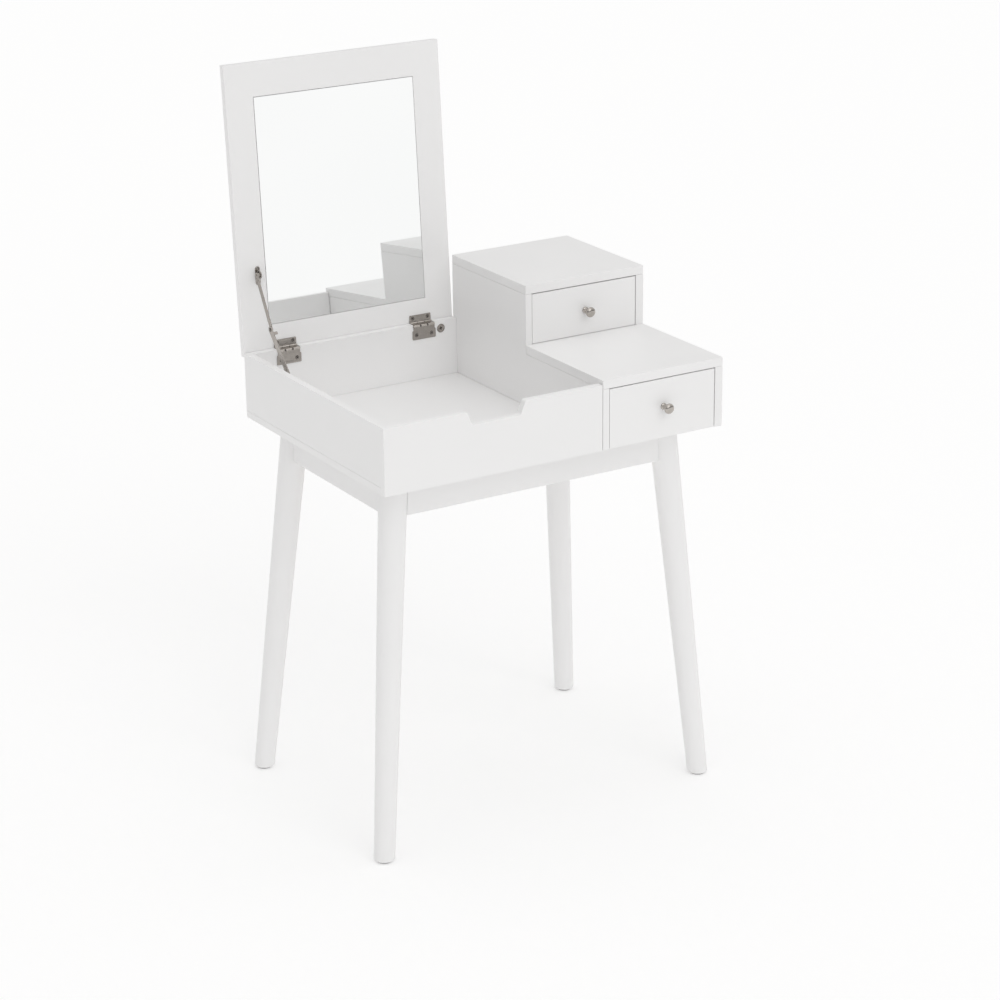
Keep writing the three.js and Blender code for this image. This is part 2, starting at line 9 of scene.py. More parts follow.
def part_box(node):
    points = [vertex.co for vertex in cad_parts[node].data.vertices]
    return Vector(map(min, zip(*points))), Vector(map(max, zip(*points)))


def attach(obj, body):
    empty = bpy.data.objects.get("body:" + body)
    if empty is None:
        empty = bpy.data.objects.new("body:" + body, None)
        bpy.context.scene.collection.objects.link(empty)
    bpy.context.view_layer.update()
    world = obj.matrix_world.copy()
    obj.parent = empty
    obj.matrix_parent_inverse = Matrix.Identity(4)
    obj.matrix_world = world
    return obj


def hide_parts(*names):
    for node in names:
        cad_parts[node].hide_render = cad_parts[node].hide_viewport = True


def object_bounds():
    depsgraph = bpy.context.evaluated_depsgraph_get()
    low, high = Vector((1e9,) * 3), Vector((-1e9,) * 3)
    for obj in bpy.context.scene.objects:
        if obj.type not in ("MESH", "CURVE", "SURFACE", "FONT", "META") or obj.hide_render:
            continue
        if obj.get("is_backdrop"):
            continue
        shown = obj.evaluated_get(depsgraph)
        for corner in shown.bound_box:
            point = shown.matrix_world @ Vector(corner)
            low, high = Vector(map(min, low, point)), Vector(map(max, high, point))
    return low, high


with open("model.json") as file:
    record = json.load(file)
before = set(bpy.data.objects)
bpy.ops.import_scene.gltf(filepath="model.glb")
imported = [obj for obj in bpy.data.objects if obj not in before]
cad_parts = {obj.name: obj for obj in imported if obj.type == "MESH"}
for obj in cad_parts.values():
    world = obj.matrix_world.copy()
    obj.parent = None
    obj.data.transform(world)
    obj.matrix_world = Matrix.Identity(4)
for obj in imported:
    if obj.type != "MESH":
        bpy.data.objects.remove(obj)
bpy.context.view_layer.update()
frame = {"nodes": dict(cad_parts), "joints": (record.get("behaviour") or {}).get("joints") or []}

# ---- measures ------------------------------------------------------------------------------------
MM = 0.001
JOINTS = {j["name"]: j for j in frame["joints"]}
BOX_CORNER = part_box("storage_front_panel")[0]           # front, left and bottom of the stepped box
HINGE_AXIS = Vector(JOINTS["lid_hinge"]["pos_m"])
STAY_LID = Vector(JOINTS["stay_upper_pivot"]["pos_m"])
STAY_ELBOW = Vector(JOINTS["stay_elbow"]["pos_m"])
LID_LEAN = math.radians(4.09)                           # the open lid leans back this far
LID_FACE = 1.5 * MM                                     # mirror side of the lid, behind the hinge axis
BACK_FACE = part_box("storage_back_panel")[0].y           # inner face of the bay's back panel
HINGES = {side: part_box(f"{side}_hinge_upper_leaf") for side in ("left", "right")}

CAMERA_FROM_CORNER = Vector((-1983.7, -3604.2, 1488.3)) * MM
CAMERA_YAW = math.radians(31.27)
CAMERA_PITCH = math.radians(19.98)
CAMERA_ROLL = math.radians(-0.63)
CAMERA_LENS = 103.27
SENSOR = 36.0                                           # sensor width, in the lens's own millimetres

SKY_STRENGTH = 0.94
SKY_LEVELS = ((0.0, 0.26), (1.0, 1.18))                 # brightness at the horizon and overhead
SUNS = (("key", (-0.05, -0.85, 0.52), 0.47, 50.0),      # name, direction, strength, spread in degrees
        ("rim", (0.90, -0.25, 0.35), 0.08, 40.0))
BACKDROP = 0.94                                         # seen by the camera and in the mirror only
FLOOR_ALBEDO = 0.80
FLOOR_GLOW = 0.26
FLOOR_HALF = 30.0
NOISE_LOW, NOISE_HIGH = 0.3, 0.7                        # a noise texture's values lie mostly between these

LEAF = 1.2 * MM                                         # sheet of the hinge leaves
BARREL = 2.3 * MM                                       # radius of a hinge's knuckles
BEAD = 2.2 * MM                                         # and of the rolled bead along its lower leaf
BEAD_PROUD = 1.0 * MM                                   # the bead stands this far in front of its leaf
UPPER_LEAF_HEIGHT = 13.5 * MM
HINGE_SCREW_SPREAD = 14.5 * MM                          # each screw, from the hinge's middle
LID_SCREW_UP = 8.2 * MM                                 # up the lid from the hinge axis
SLIP = 0.2 * MM                                         # between a leaf and its board or neighbour

STAY_SHEET = 1.5 * MM
ARM_RADIUS = {"upper": 4.5 * MM, "lower": 6 * MM}       # half of each arm's width
LUG_RADIUS = 6.5 * MM                                   # the round ends that the arms turn on
LUG_SHEET = 1.6 * MM
RIVET_RADIUS = 2.2 * MM
STAY_SCREW_SPREAD = 13.5 * MM                           # each side screw, from the middle of its plate

BEVELS = {"storage_back": 0.12 * MM, "panel": 0.7 * MM, "partition": 0.7 * MM, "apron": 1.2 * MM,
          "drawer": 0.6 * MM, "lid_board": 0.8 * MM}    # by a word in the node's name, the first that fits
SMALL_BEVEL = 0.3 * MM


# ---- camera, floor and light ---------------------------------------------------------------------
def add_camera():
    data = bpy.data.cameras.new("camera")
    data.lens = CAMERA_LENS
    data.sensor_width = SENSOR
    data.clip_end = 100
    camera = bpy.data.objects.new("camera", data)
    bpy.context.scene.collection.objects.link(camera)
    cos_yaw, sin_yaw = math.cos(CAMERA_YAW), math.sin(CAMERA_YAW)
    cos_pitch, sin_pitch = math.cos(CAMERA_PITCH), math.sin(CAMERA_PITCH)
    ahead = Vector((sin_yaw * cos_pitch, cos_yaw * cos_pitch, -sin_pitch))
    right = ahead.cross(Vector((0, 0, 1))).normalized()
    up = right.cross(ahead)
    rolled_right = math.cos(CAMERA_ROLL) * right + math.sin(CAMERA_ROLL) * up
    rolled_up = -math.sin(CAMERA_ROLL) * right + math.cos(CAMERA_ROLL) * up
    turn = Matrix((rolled_right, rolled_up, -ahead)).transposed()
    camera.matrix_world = Matrix.Translation(BOX_CORNER + CAMERA_FROM_CORNER) @ turn.to_4x4()
    bpy.context.scene.camera = camera


def studio():
    scene = bpy.context.scene
    scene.view_settings.view_transform = "Standard"
    world = bpy.data.worlds.new("studio")
    scene.world = world
    world.use_nodes = True
    nodes, links = world.node_tree.nodes, world.node_tree.links
    nodes.clear()
    out = nodes.new("ShaderNodeOutputWorld")
    sky = nodes.new("ShaderNodeBackground")
    sky.inputs["Strength"].default_value = SKY_STRENGTH
    coord = nodes.new("ShaderNodeTexCoord")
    split = nodes.new("ShaderNodeSeparateXYZ")
    ramp_node = nodes.new("ShaderNodeValToRGB")
    for element, (position, level) in zip(ramp_node.color_ramp.elements, SKY_LEVELS):
        element.position = position
        element.color = (level, level * 0.998, level * 0.995, 1)
    links.new(coord.outputs["Generated"], split.inputs[0])
    links.new(split.outputs["Z"], ramp_node.inputs["Fac"])
    links.new(ramp_node.outputs["Color"], sky.inputs["Color"])
    backdrop = nodes.new("ShaderNodeBackground")
    backdrop.inputs["Color"].default_value = (BACKDROP, BACKDROP, BACKDROP, 1)
    path = nodes.new("ShaderNodeLightPath")
    seen = nodes.new("ShaderNodeMath")
    seen.operation = "MAXIMUM"
    mix = nodes.new("ShaderNodeMixShader")
    links.new(path.outputs["Is Camera Ray"], seen.inputs[0])
    links.new(path.outputs["Is Singular Ray"], seen.inputs[1])
    links.new(seen.outputs[0], mix.inputs["Fac"])
    links.new(sky.outputs[0], mix.inputs[1])
    links.new(backdrop.outputs[0], mix.inputs[2])
    links.new(mix.outputs[0], out.inputs["Surface"])
    for name, towards, strength, spread in SUNS:
        light = bpy.data.lights.new(name, "SUN")
        light.energy = strength
        light.angle = math.radians(spread)
        sun = bpy.data.objects.new(name, light)
        scene.collection.objects.link(sun)
        sun.rotation_mode = "QUATERNION"
        sun.rotation_quaternion = Vector(towards).to_track_quat("Z", "Y")


def floor():
    mesh = bpy.data.meshes.new("floor")
    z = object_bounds()[0].z
    corners = [(x * FLOOR_HALF, y * FLOOR_HALF, z) for x, y in ((-1, -1), (1, -1), (1, 1), (-1, 1))]
    mesh.from_pydata(corners, [], [(0, 1, 2, 3)])
    ground = bpy.data.objects.new("floor", mesh)
    bpy.context.scene.collection.objects.link(ground)
    material, _, _, shader, _ = blank("studio_floor", Roughness=1.0, Specular_IOR_Level=0.0)
    shader.inputs["Base Color"].default_value = (FLOOR_ALBEDO, FLOOR_ALBEDO, FLOOR_ALBEDO, 1)
    shader.inputs["Emission Color"].default_value = (1, 1, 1, 1)
    shader.inputs["Emission Strength"].default_value = FLOOR_GLOW
    mesh.materials.append(material)
    ground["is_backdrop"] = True


# ---- materials -----------------------------------------------------------------------------------
def blank(name, **sockets):
    """A new material with constant values on its shader, given by socket name."""
    material = bpy.data.materials.new(name)
    material.use_nodes = True
    nodes, links = material.node_tree.nodes, material.node_tree.links
    shader = nodes["Principled BSDF"]
    for socket, value in sockets.items():
        shader.inputs[socket.replace("_", " ")].default_value = value
    coord = nodes.new("ShaderNodeTexCoord")
    return material, nodes, links, shader, coord


def noise(nodes, links, coord, scale, detail, stretch=(1, 1, 1), offset=0.0):
    mapping = nodes.new("ShaderNodeMapping")
    mapping.inputs["Scale"].default_value = stretch
    mapping.inputs["Location"].default_value = (offset, offset * 0.7, offset * 1.3)
    texture = nodes.new("ShaderNodeTexNoise")
    texture.inputs["Scale"].default_value = scale
    texture.inputs["Detail"].default_value = detail
    links.new(coord.outputs["Object"], mapping.inputs["Vector"])
    links.new(mapping.outputs["Vector"], texture.inputs["Vector"])
    return texture.outputs["Fac"]


def ramp(nodes, links, source, low, high):
    node = nodes.new("ShaderNodeValToRGB")
    node.color_ramp.elements[0].position = NOISE_LOW
    node.color_ramp.elements[0].color = (*low, 1)
    node.color_ramp.elements[1].position = NOISE_HIGH
    node.color_ramp.elements[1].color = (*high, 1)
    links.new(source, node.inputs["Fac"])
    return node.outputs["Color"]


def span(nodes, links, source, low, high):
    node = nodes.new("ShaderNodeMapRange")
    node.inputs["From Min"].default_value = NOISE_LOW
    node.inputs["From Max"].default_value = NOISE_HIGH
    node.inputs["To Min"].default_value = low
    node.inputs["To Max"].default_value = high
    links.new(source, node.inputs["Value"])
    return node.outputs["Result"]


def bump(nodes, links, shader, layers):
    """layers: (height source, distance in metres, strength), the broadest first."""
    last = None
    for source, distance, strength in layers:
        node = nodes.new("ShaderNodeBump")
        node.inputs["Distance"].default_value = distance
        node.inputs["Strength"].default_value = strength
        links.new(source, node.inputs["Height"])
        if last is not None:
            links.new(last, node.inputs["Normal"])
        last = node.outputs["Normal"]
    links.new(last, shader.inputs["Normal"])


def tinted(colour, factor):
    return tuple(min(1.0, c * factor) for c in colour)


def satin_paint(name, colour, offset, sheen_rough=0.42):
    """Sprayed satin paint on fibreboard: a faint orange peel, a slow ripple and slightly uneven gloss."""
    material, nodes, links, shader, coord = blank(name, Specular_IOR_Level=0.42)
    cloud = noise(nodes, links, coord, 4.0, 4.0, offset=offset)
    links.new(ramp(nodes, links, cloud, tinted(colour, 0.985), colour), shader.inputs["Base Color"])
    patches = noise(nodes, links, coord, 22.0, 5.0, offset=offset + 3)
    links.new(span(nodes, links, patches, sheen_rough - 0.05, sheen_rough + 0.06), shader.inputs["Roughness"])
    ripple = noise(nodes, links, coord, 45.0, 2.0, offset=offset + 7)
    peel = noise(nodes, links, coord, 700.0, 2.0, offset=offset + 11)
    bump(nodes, links, shader, [(ripple, 0.00012, 0.25), (peel, 0.00002, 0.35)])
    return material


def satin_nickel(name, colour, offset, grain, rough):
    """Plated steel with a fine brushed grain that runs across the stretch axis."""
    material, nodes, links, shader, coord = blank(name, Metallic=1.0)
    mottle = noise(nodes, links, coord, 160.0, 4.0, offset=offset)
    shade = ramp(nodes, links, mottle, tinted(colour, 0.93), tinted(colour, 1.04))
    links.new(shade, shader.inputs["Base Color"])
    lines = noise(nodes, links, coord, 1400.0, 3.0, stretch=grain, offset=offset + 2)
    links.new(span(nodes, links, lines, rough - 0.04, rough + 0.05), shader.inputs["Roughness"])
    bump(nodes, links, shader, [(mottle, 0.00004, 0.06), (lines, 0.00001, 0.12)])
    return material


def silvered_glass():
    """Float glass silvered on the back: a clean reflection with a trace of green."""
    material, nodes, links, shader, coord = blank("mirror_silvering", Metallic=1.0, Roughness=0.0)
    haze = noise(nodes, links, coord, 3.0, 2.0)
    tint = ramp(nodes, links, haze, (0.945, 0.955, 0.952), (0.965, 0.972, 0.97))
    links.new(tint, shader.inputs["Base Color"])
    return material


def faced_hardboard():
    material, nodes, links, shader, coord = blank("faced_hardboard", Specular_IOR_Level=0.3)
    fibre = noise(nodes, links, coord, 260.0, 6.0)
    links.new(ramp(nodes, links, fibre, (0.74, 0.73, 0.71), (0.80, 0.79, 0.775)), shader.inputs["Base Color"])
    links.new(span(nodes, links, fibre, 0.55, 0.68), shader.inputs["Roughness"])
    bump(nodes, links, shader, [(fibre, 0.00008, 0.3)])
    return material


def sawn_beech():
    material, nodes, links, shader, coord = blank("sawn_beech", Specular_IOR_Level=0.25)
    grain = noise(nodes, links, coord, 40.0, 6.0, stretch=(1, 1, 9))
    pores = noise(nodes, links, coord, 380.0, 3.0, stretch=(1, 1, 4))
    links.new(ramp(nodes, links, grain, (0.52, 0.35, 0.21), (0.70, 0.52, 0.34)), shader.inputs["Base Color"])
    links.new(span(nodes, links, pores, 0.6, 0.78), shader.inputs["Roughness"])
    bump(nodes, links, shader, [(grain, 0.0003, 0.4), (pores, 0.0001, 0.4)])
    return material


def moulded_nylon():
    material, nodes, links, shader, coord = blank("moulded_nylon", Specular_IOR_Level=0.35)
    speck = noise(nodes, links, coord, 500.0, 4.0)
    grey = ramp(nodes, links, speck, (0.36, 0.355, 0.35), (0.45, 0.445, 0.44))
    links.new(grey, shader.inputs["Base Color"])
    links.new(span(nodes, links, speck, 0.5, 0.68), shader.inputs["Roughness"])
    bump(nodes, links, shader, [(speck, 0.00005, 0.35)])
    return material


WHITE = (0.905, 0.900, 0.897)
NICKEL = (0.40, 0.372, 0.345)
PAINTS = [satin_paint(f"satin_white_{k}", tinted(WHITE, 1 - 0.004 * k), 5.0 * k) for k in range(3)]
LEG_PAINT = satin_paint("satin_white_turned", tinted(WHITE, 0.995), 21.0, 0.40)
HARDWARE = satin_nickel("satin_nickel_pressed", NICKEL, 1.0, (0.08, 1, 1), 0.24)
STAY_METAL = satin_nickel("satin_nickel_strip", tinted(NICKEL, 1.04), 4.0, (1, 1, 0.1), 0.26)
KNOB_METAL = satin_nickel("polished_nickel", tinted(NICKEL, 1.2), 8.0, (1, 1, 1), 0.12)
SCREW_METAL = satin_nickel("screw_nickel", tinted(NICKEL, 0.55), 12.0, (1, 1, 1), 0.22)
# a brighter copy of the nickel for the knuckles and the bead: painted highlight along the rolled edges
PAINTED_HIGHLIGHT_KNUCKLE_METAL = satin_nickel("satin_nickel_painted_highlight", tinted(NICKEL, 1.45), 3.0, (0.08, 1, 1), 0.16)
# near-black copy of the nickel for the hinge pins: painted shade, so the pins show as dark gaps between the
# knuckles and through the bead's slots
PAINTED_SHADE_PIN_METAL = satin_nickel("pin_steel_painted_shade", tinted(NICKEL, 0.25), 6.0, (0.08, 1, 1), 0.30)
CAD_METAL = satin_nickel("satin_nickel_plain", NICKEL, 15.0, (1, 1, 1), 0.32)
MIRROR = silvered_glass()
HARDBOARD = faced_hardboard()
BEECH = sawn_beech()
NYLON = moulded_nylon()


# ---- mesh helpers --------------------------------------------------------------------------------
def add_object(name, bm, material, body, smooth=30.0):
    mesh = bpy.data.meshes.new(name)
    bmesh.ops.recalc_face_normals(bm, faces=bm.faces)
    bm.to_mesh(mesh)
    bm.free()
    mesh.materials.append(material)
    obj = bpy.data.objects.new(name, mesh)
    bpy.context.scene.collection.objects.link(obj)
    for polygon in mesh.polygons:
        polygon.use_smooth = True
    mesh.set_sharp_from_angle(angle=math.radians(smooth))
    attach(obj, body)
    return obj


def soften(obj, width, segments=2):
    bevel = obj.modifiers.new("soft_edges", "BEVEL")
    bevel.width = width
    bevel.segments = segments
    bevel.limit_method = "ANGLE"
    bevel.angle_limit = math.radians(30)
    bevel.use_clamp_overlap = True


def lathe(bm, profile, place, segments=32):
    """A closed turning of (radius, height) points about local +Z, put where the matrix place says."""
    rings = []
    for radius, height in profile:
        if radius < 1e-7:
            rings.append([bm.verts.new(place @ Vector((0, 0, height)))])
            continue
        ring = []
        for k in range(segments):
            a = 2 * math.pi * k / segments
            ring.append(bm.verts.new(place @ Vector((radius * math.cos(a), radius * math.sin(a), height))))
        rings.append(ring)
    for low, high in zip(rings, rings[1:]):
        for k in range(segments):
            n = (k + 1) % segments
            if len(low) == 1 and len(high) > 1:
                bm.faces.new((low[0], high[k], high[n]))
            elif len(high) == 1 and len(low) > 1:
                bm.faces.new((low[k], low[n], high[0]))
            elif len(low) > 1:
                bm.faces.new((low[k], low[n], high[n], high[k]))


def prism(bm, outline, place, thickness):
    """An outline of (x, y) points, extruded along local +Z by thickness."""
    low = [bm.verts.new(place @ Vector((x, y, 0))) for x, y in outline]
    high = [bm.verts.new(place @ Vector((x, y, thickness))) for x, y in outline]
    bm.faces.new(low[::-1])
    bm.faces.new(high)
    count = len(outline)
    for k in range(count):
        n = (k + 1) % count
        bm.faces.new((low[k], low[n], high[n], high[k]))


def rounded(x0, x1, y0, y1, radius, steps=5):
    """A rectangle's outline with round corners."""
    points = []
    corners = [(x1 - radius, y1 - radius, 0), (x0 + radius, y1 - radius, 90),
               (x0 + radius, y0 + radius, 180), (x1 - radius, y0 + radius, 270)]
    for cx, cy, start in corners:
        for k in range(steps + 1):
            a = math.radians(start + 90 * k / steps)
            points.append((cx + radius * math.cos(a), cy + radius * math.sin(a)))
    return points


FACING_FRONT = Matrix(((1, 0, 0), (0, 0, -1), (0, 1, 0))).to_4x4()   # local +Z turned to -Y, local +Y to +Z
FACING_RIGHT = Matrix(((0, 0, 1), (1, 0, 0), (0, 1, 0))).to_4x4()    # local +Z turned to +X, local +X to +Y
LID = Matrix.Translation(Vector((0, HINGE_AXIS.y, HINGE_AXIS.z))) @ Matrix.Rotation(-LID_LEAN, 4, "X")


def shift(x, y, z):
    return Matrix.Translation(Vector((x, y, z)))


# ---- boards and other carried-over CAD nodes -----------------------------------------------------
def carry_over():
    for count, (name, obj) in enumerate(sorted(frame["nodes"].items())):
        if "glide" in name:
            material = NYLON
        elif "brace" in name:
            material = BEECH
        elif name == "mirror_glass":
            material = MIRROR
        elif "drawer_bottom" in name:
            material = HARDBOARD
        elif any(word in name for word in ("hinge", "stay", "screw", "cam", "knob")):
            material = CAD_METAL
        elif "leg" in name:
            material = LEG_PAINT
        else:
            material = PAINTS[count % len(PAINTS)]
        obj.data.materials.clear()
        obj.data.materials.append(material)
        for polygon in obj.data.polygons:
            polygon.use_smooth = False
        weld = obj.modifiers.new("weld", "WELD")
        weld.merge_threshold = 0.00001
        width = next((w for word, w in BEVELS.items() if word in name), SMALL_BEVEL)
        soften(obj, width, 3)


# ---- turned legs ---------------------------------------------------------------------------------
def leg(fore, side):
    node = f"{fore}_{side}_leg"
    low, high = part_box(node)
    verts = [v.co for v in frame["nodes"][node].data.vertices]
    ends = {}
    for end, level in (("foot", low.z), ("top", high.z)):
        ring = [v for v in verts if abs(v.z - level) < 0.2 * MM]
        xs, ys = [v.x for v in ring], [v.y for v in ring]
        centre = Vector(((min(xs) + max(xs)) / 2, (min(ys) + max(ys)) / 2, level))
        ends[end] = (centre, (max(xs) - min(xs)) / 2)
    (foot, foot_radius), (top, top_radius) = ends["foot"], ends["top"]
    round_over = 2.2 * MM
    length = top.z - foot.z
    steps = [(0.0, -round_over), (0.25 * round_over, -0.34 * round_over), (round_over, 0.0)]
    profile = [(0.0, 0.0)] + [(foot_radius + inset, rise) for rise, inset in steps]
    profile += [(foot_radius + (top_radius - foot_radius) * t, length * t) for t in (0.2, 0.4, 0.6, 0.8, 1.0)]
    profile.append((0.0, length))
    sheared = Matrix.Identity(4)
    sheared[0][2] = (top.x - foot.x) / length
    sheared[1][2] = (top.y - foot.y) / length
    bm = bmesh.new()
    lathe(bm, profile, Matrix.Translation(foot) @ sheared, 96)
    piece = add_object(f"{fore}_{side}_turned_leg", bm, LEG_PAINT, "carcass")
    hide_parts(node)


# ---- screws and the cam lock ---------------------------------------------------------------------
def cut(obj, cutter):
    """Takes the cutter's solid out of obj's mesh for good, and removes the cutter."""
    boolean = obj.modifiers.new("cut", "BOOLEAN")
    boolean.operation = "DIFFERENCE"
    boolean.solver = "EXACT"
    boolean.object = cutter
    graph = bpy.context.evaluated_depsgraph_get()
    mesh = bpy.data.meshes.new_from_object(obj.evaluated_get(graph))
    obj.modifiers.remove(boolean)
    obj.data = mesh
    bpy.data.objects.remove(cutter)


def loose(name, bm):
    mesh = bpy.data.meshes.new(name)
    bmesh.ops.recalc_face_normals(bm, faces=bm.faces)
    bm.to_mesh(mesh)
    bm.free()
    obj = bpy.data.objects.new(name, mesh)
    bpy.context.scene.collection.objects.link(obj)
    return obj


def cross_outline(arm, wide, inner):
    """A plus sign's outline: its arms reach out to arm, are twice wide across and meet at inner."""
    quarter = [(arm, -wide), (arm, wide), (inner, inner)]
    points = []
    for _ in range(4):
        points += quarter
        quarter = [(-y, x) for x, y in quarter]
    return points


def screw_mesh(radius, dome, shank, length):
    """A cross-recess screw along local Z, its head's rim at 0 and the shank going down."""
    bm = bmesh.new()
    rim = [(radius * math.cos(a), dome * math.sin(a)) for a in (0, 0.35, 0.75, 1.15)]
    profile = [(0, -length), (shank * 0.6, -length), (shank, -length + shank), (shank, -(radius - shank)),
               *rim, (0, dome)]
    lathe(bm, profile, Matrix.Identity(4))
    screw = loose("screw_blank", bm)
    bm = bmesh.new()
    arm, wide, deep = radius * 0.55, radius * 0.13, radius * 0.55
    prism(bm, cross_outline(arm, wide, wide * 1.4), shift(0, 0, dome - deep), deep + dome + radius)
    cut(screw, loose("cross", bm))
    mesh = screw.data
    bpy.data.objects.remove(screw)
    mesh.materials.clear()
    mesh.materials.append(SCREW_METAL)
    for polygon in mesh.polygons:
        polygon.use_smooth = True
    mesh.set_sharp_from_angle(angle=math.radians(28))
    return mesh


def put_screw(name, mesh, place, turn, body, *replaced):
    placed = mesh.copy()
    placed.transform(place @ Matrix.Rotation(math.radians(turn), 4, "Z"))
    obj = bpy.data.objects.new(name, placed)
    bpy.context.scene.collection.objects.link(obj)
    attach(obj, body)
    if replaced:
        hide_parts(*replaced)


def hinge_screws():
    mesh = screw_mesh(3.0 * MM, 0.5 * MM, 1.6 * MM, 9 * MM)
    sunk = 0.35 * MM
    for number, (side, (low, high)) in enumerate(HINGES.items()):
        middle = (low.x + high.x) / 2
        for end, sign in (("outer", -1), ("inner", 1)):
            x = middle + sign * HINGE_SCREW_SPREAD
            turn = 25 + 40 * number + 17 * sign
            place = LID @ shift(x, LID_FACE - SLIP - LEAF + sunk, LID_SCREW_UP) @ FACING_FRONT
            node = f"{side}_hinge_lid_screw_{end}"
            put_screw(f"{node}_cross_head", mesh, place, turn, "lid", node)
            node = f"{side}_hinge_back_screw_{end}"
            lower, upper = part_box(node)
            z = (lower.z + upper.z) / 2
            face = lower.y + 0.25 * MM + sunk
            place = shift(x, face, z) @ FACING_FRONT
            put_screw(f"{node}_cross_head", mesh, place, turn + 33, "carcass", node)


def cam_lock():
    low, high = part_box("cam_lock")
    radius = (high.x - low.x) / 2
    centre = Vector(((low.x + high.x) / 2, low.y, (low.z + high.z) / 2))
    depth = high.y - low.y
    bm = bmesh.new()
    outside = [(0, -depth), (radius, -depth), (radius, -0.5 * MM), (radius - 0.4 * MM, 0)]
    dish = [(radius - MM, 0), (radius - 1.8 * MM, -0.9 * MM), (radius * 0.45, -1.4 * MM), (0, -1.5 * MM)]
    place = Matrix.Translation(centre) @ FACING_FRONT
    lathe(bm, outside + dish, place, 48)
    cam = add_object("cam_lock_dished", bm, HARDWARE, "carcass")
    bm = bmesh.new()
    arm, wide, deep = 3.2 * MM, 1.1 * MM, 4.5 * MM
    turned = place @ Matrix.Rotation(math.radians(20), 4, "Z") @ shift(0, 0, -deep)
    prism(bm, cross_outline(arm, wide, wide), turned, deep + 1.5 * MM)
    cut(cam, loose("cross", bm))
    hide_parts("cam_lock")


# ---- hinges --------------------------------------------------------------------------------------
def barrel_piece(bm, x0, x1, y, z, radius, place=Matrix.Identity(4)):
    """A knuckle along X with softened ends."""
    edge = 0.25 * MM
    length = x1 - x0
    profile = [(0, 0), (radius - edge, 0), (radius, edge)]
    profile += [(radius, length - edge), (radius - edge, length), (0, length)]
    lathe(bm, profile, place @ shift(x0, y, z) @ FACING_RIGHT, 28)


def shouldered(x0, x1, inner0, inner1, low, shoulder, high, radius):
    """A plate from x0 to x1 with round corners, and a narrower neck on top of it up to high."""
    wide = rounded(x0, x1, low, shoulder, radius)
    quarter = len(wide) // 4
    neck_left = [(inner0, high), (inner0, shoulder)]
    neck_right = [(inner1, shoulder), (inner1, high)]
    return neck_left + wide[quarter:] + wide[:quarter] + neck_right


def sink_holes(leaf, middle, face, height, place):
    """Countersunk holes through a leaf whose outer face is the local plane y = face."""
    bm = bmesh.new()
    wide, narrow, deep = 3.7 * MM, 1.9 * MM, 1.4 * MM
    for sign in (-1, 1):
        profile = [(0, -3 * MM), (narrow, -3 * MM), (narrow, -deep), (wide, 0.1 * MM), (wide, MM), (0, MM)]
        lathe(bm, profile, place @ shift(middle + sign * HINGE_SCREW_SPREAD, face, height) @ FACING_FRONT)
    cut(leaf, loose("holes", bm))


